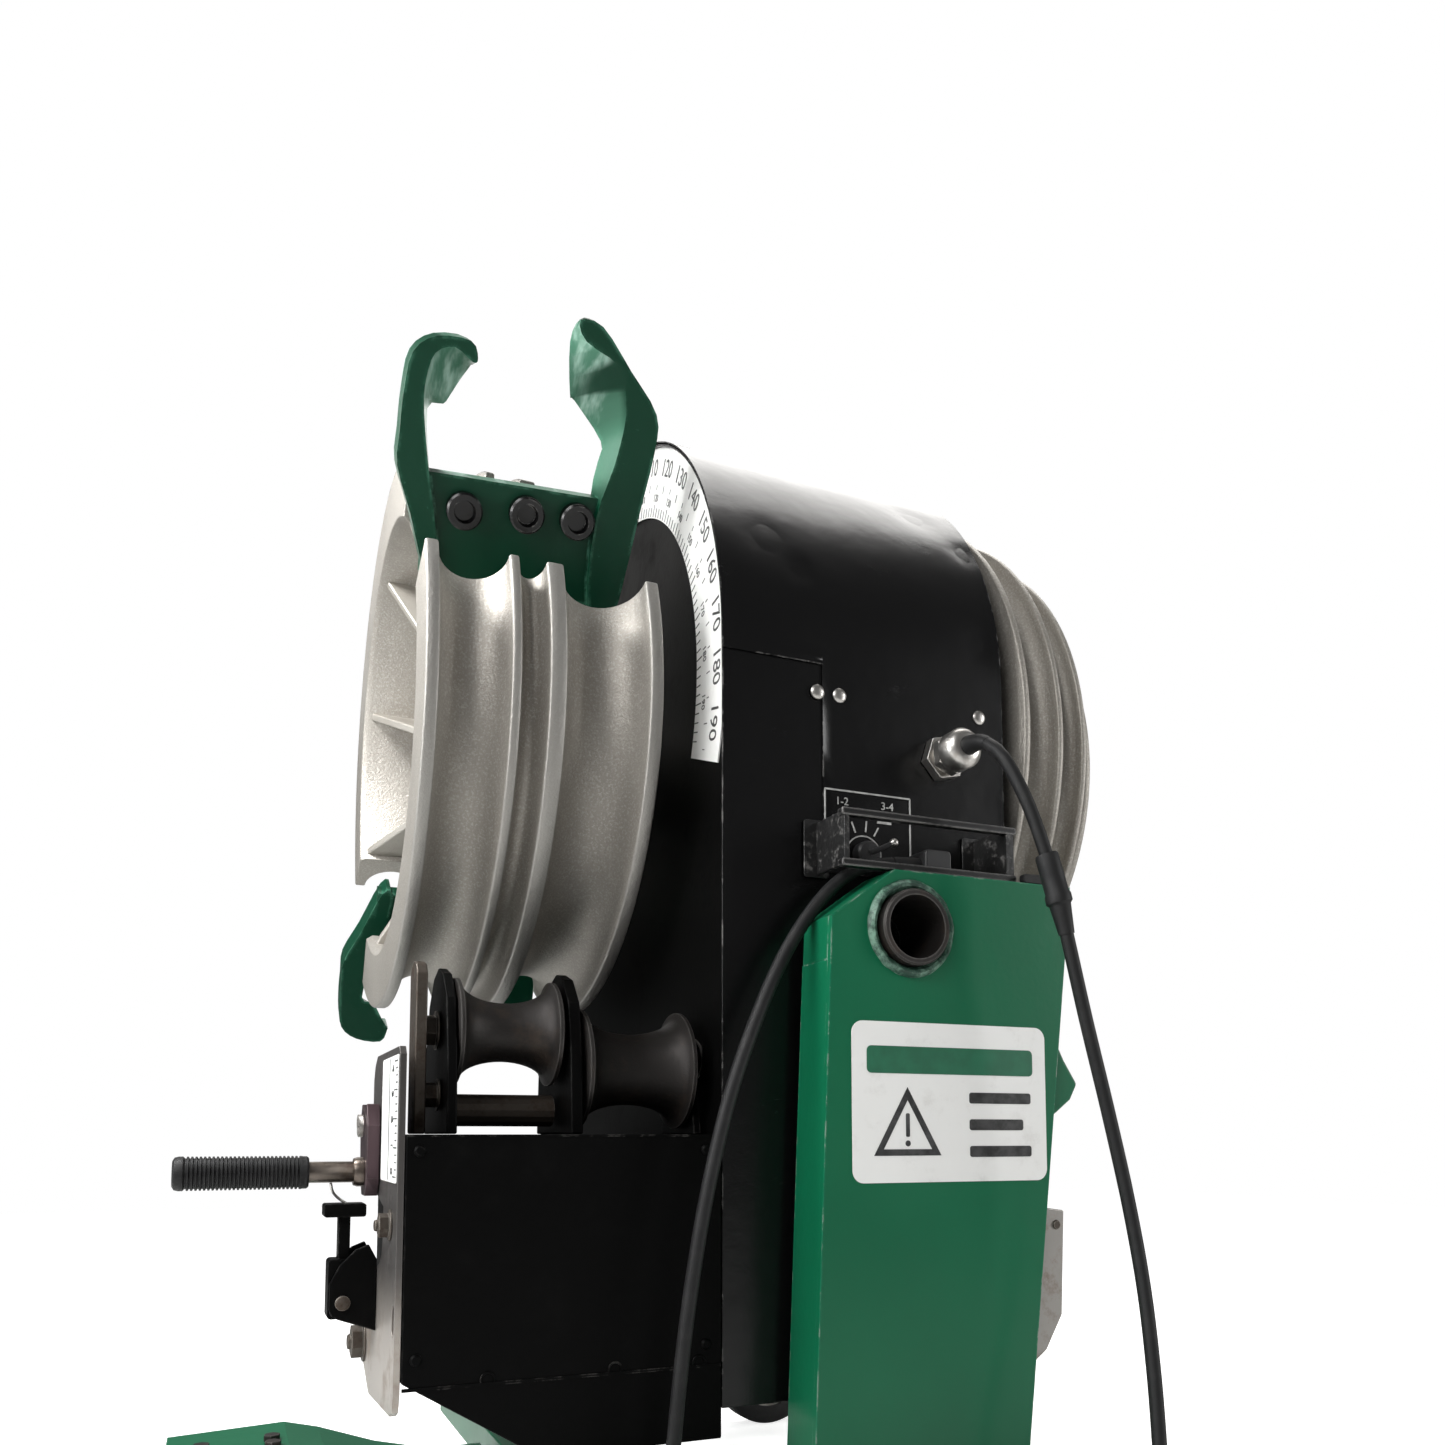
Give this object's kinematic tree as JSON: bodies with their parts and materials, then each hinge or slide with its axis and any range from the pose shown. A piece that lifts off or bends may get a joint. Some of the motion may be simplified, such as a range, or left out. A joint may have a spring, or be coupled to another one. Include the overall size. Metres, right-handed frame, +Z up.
{
  "type": "conduit bender",
  "caption": "Floor-standing powered conduit bender: tilting head on a wheeled frame, grooved bending shoes with pipe hooks, support rollers, degree scale and pendant control.",
  "frame": {"origin": "on the floor under the middle of the machine", "axes": "+X along the bending shaft towards the small shoe, +Y from the switch side to the far arm, +Z up"},
  "size_m": [0.854, 1.0991, 1.125],
  "materials": {
    "green_paint": "glossy green enamel",
    "black_paint": "glossy black enamel",
    "cast_aluminium": "satin casting",
    "steel": "worn bare steel",
    "dark_steel": "oiled dark steel",
    "nickel": "nickel plate",
    "rubber": "matte rubber",
    "plastic": "moulded plastic",
    "scale_white": "printed film",
    "button_green": "gloss",
    "button_red": "gloss"
  },
  "bodies": {
    "frame": {"near_arm": "green_paint", "far_arm": "green_paint", "near_rail": "green_paint", "far_rail": "green_paint", "caster_bracket": "green_paint", "centre_beam": "green_paint", "front_crossbar": "green_paint", "rear_crossbar": "green_paint", "tilt_lock_plate": "steel", "wheel_axle": "steel", "power_cord": "rubber", "power_cord_coil": "rubber", "power_plug": "rubber", "pendant_cord": "rubber", "pendant_cord_coil": "rubber", "pendant_handset": "plastic"},
    "head": {"near_pivot": "dark_steel", "far_pivot": "dark_steel", "housing_cover": "black_paint", "left_end_plate": "black_paint", "right_end_plate": "black_paint", "degree_scale": "scale_white", "left_bearing": "steel", "right_bearing": "steel", "lower_box": "black_paint", "motor_cover": "black_paint", "box_end_plate": "steel", "outer_support": "black_paint", "inner_support": "black_paint", "support_bar": "steel", "roller_bracket": "black_paint", "support_shaft": "dark_steel", "left_roller_pin": "steel", "right_roller_pin": "steel", "switch_guard": "black_paint", "power_gland": "nickel", "pendant_gland": "plastic", "gearbox": "dark_steel", "motor": "black_paint", "drive_chain": "dark_steel"},
    "shoes": {"main_shaft": "steel", "left_shoe": "cast_aluminium", "right_shoe": "cast_aluminium", "top_hook": "green_paint", "bottom_hook": "green_paint", "large_sprocket": "dark_steel"},
    "drive": {"small_sprocket": "dark_steel"},
    "left_roller": {"left_roller": "dark_steel"},
    "right_roller": {"right_roller": "dark_steel"},
    "lever": {"lever_cam": "steel", "lever_rod": "steel", "lever_grip": "rubber"},
    "latch": {"lever_latch": "black_paint"},
    "selector": {"selector_switch": "plastic"},
    "near_wheel": {"near_wheel": "rubber"},
    "far_wheel": {"far_wheel": "rubber"},
    "fork": {"caster_fork": "dark_steel"},
    "caster": {"caster_wheel": "rubber"},
    "bend_button": {"bend_button": "button_green"},
    "unload_button": {"unload_button": "button_red"}
  },
  "joints": [
    {"name": "head_tilt", "type": "hinge", "parent": "frame", "child": "head", "pos_m": [0.122, 0, 0.585], "axis": [0, 1, 0], "range_deg": [0, 90], "deforming": ["power_cord", "pendant_cord"]},
    {"name": "shoe_spin", "type": "hinge", "parent": "head", "child": "shoes", "pos_m": [0, 0, 0.8], "axis": [1, 0, 0], "range_deg": [-55, 85]},
    {"name": "drive_spin", "type": "hinge", "parent": "head", "child": "drive", "pos_m": [0.1, 0, 0.44], "axis": [1, 0, 0], "range_deg": [-170, 260]},
    {"name": "left_roller_spin", "type": "hinge", "parent": "head", "child": "left_roller", "pos_m": [-0.182, -0.215, 0.5], "axis": [1, 0, 0], "continuous": true},
    {"name": "right_roller_spin", "type": "hinge", "parent": "head", "child": "right_roller", "pos_m": [-0.075, -0.215, 0.472], "axis": [1, 0, 0], "continuous": true},
    {"name": "lever_swing", "type": "hinge", "parent": "head", "child": "lever", "pos_m": [-0.2793, -0.172, 0.424], "axis": [1, 0, 0], "range_deg": [0, 110]},
    {"name": "latch_swing", "type": "hinge", "parent": "head", "child": "latch", "pos_m": [-0.299, -0.172, 0.285], "axis": [0, 1, 0], "range_deg": [-25, 0]},
    {"name": "selector_turn", "type": "hinge", "parent": "head", "child": "selector", "pos_m": [0.113, -0.3, 0.658], "axis": [0, 1, 0], "range_deg": [-100, 0]},
    {"name": "near_wheel_spin", "type": "hinge", "parent": "frame", "child": "near_wheel", "pos_m": [0.352, 0, 0.075], "axis": [0, 1, 0], "continuous": true},
    {"name": "far_wheel_spin", "type": "hinge", "parent": "frame", "child": "far_wheel", "pos_m": [0.352, 0, 0.075], "axis": [0, 1, 0], "continuous": true},
    {"name": "swivel", "type": "hinge", "parent": "frame", "child": "fork", "pos_m": [-0.368, 0, 0.08], "axis": [0, 0, 1], "continuous": true},
    {"name": "caster_spin", "type": "hinge", "parent": "fork", "child": "caster", "pos_m": [-0.348, 0, 0.045], "axis": [0, 1, 0], "continuous": true},
    {"name": "bend_press", "type": "slide", "parent": "frame", "child": "bend_button", "axis": [0, 0, -1], "range_m": [0, 0.003], "stiffness_N_per_m": 400},
    {"name": "unload_press", "type": "slide", "parent": "frame", "child": "unload_button", "axis": [0, 0, -1], "range_m": [0, 0.003], "stiffness_N_per_m": 400}
  ],
  "couplings": [
    {"joint": "drive_spin", "follows": "shoe_spin", "ratio": 3}
  ]
}
